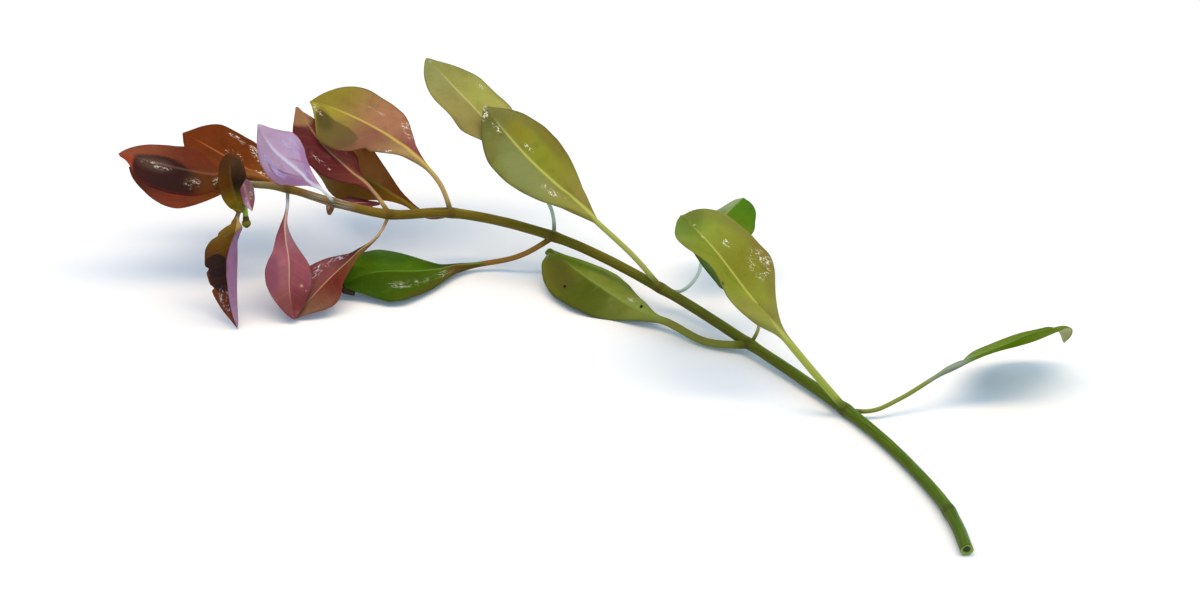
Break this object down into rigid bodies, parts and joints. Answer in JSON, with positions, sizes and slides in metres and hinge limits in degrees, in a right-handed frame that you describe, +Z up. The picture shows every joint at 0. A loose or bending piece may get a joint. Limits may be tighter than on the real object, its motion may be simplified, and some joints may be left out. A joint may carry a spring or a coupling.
{
  "type": "ludwigia repens",
  "caption": "Cut stem of a red and green aquarium plant, lying flat, with paired leaves on petioles, some raised, some resting on the surface or hanging down to it.",
  "frame": {"origin": "middle of the plant's box, at the surface it lies on", "axes": "+X along the plant from its hooked tip towards the cut end's side, +Y away from the viewer, +Z up"},
  "size_m": [0.168, 0.111, 0.0319],
  "materials": {
    "stem": "wet green stem, browner towards the tip",
    "leaf_olive": "thin wet olive leaf that light comes through",
    "leaf_green": "thin wet green leaf",
    "leaf_bronze": "thin wet leaf, olive turning terracotta",
    "leaf_red": "thin wet red-brown leaf, glossy",
    "leaf_pink": "thin wet mauve-pink leaf",
    "leaf_lilac": "pale lilac underside of a leaf",
    "bud": "young bud, green with a brown band"
  },
  "bodies": {
    "root": {"stem": "stem", "leaf_1_left": "leaf_olive", "leaf_1_right": "leaf_green", "leaf_2_front": "leaf_green", "leaf_2_back": "leaf_green", "leaf_3_front": "leaf_olive", "leaf_3_back": "leaf_green", "leaf_4_front": "leaf_green", "leaf_4_back": "leaf_olive", "leaf_5_front": "leaf_bronze", "leaf_5_back": "leaf_bronze", "leaf_6_upper": "leaf_red", "leaf_6_hanging": "leaf_pink", "leaf_7_upper": "leaf_lilac", "leaf_7_under": "leaf_pink", "leaf_8_back": "leaf_red", "leaf_8_hanging": "leaf_pink", "leaf_9_upper": "leaf_red", "leaf_9_lower": "leaf_red", "leaf_9_hanging": "leaf_red", "tip_leaf_olive": "leaf_bronze", "tip_leaf_pink": "leaf_pink", "tip_bud": "bud"}
  },
  "joints": []
}
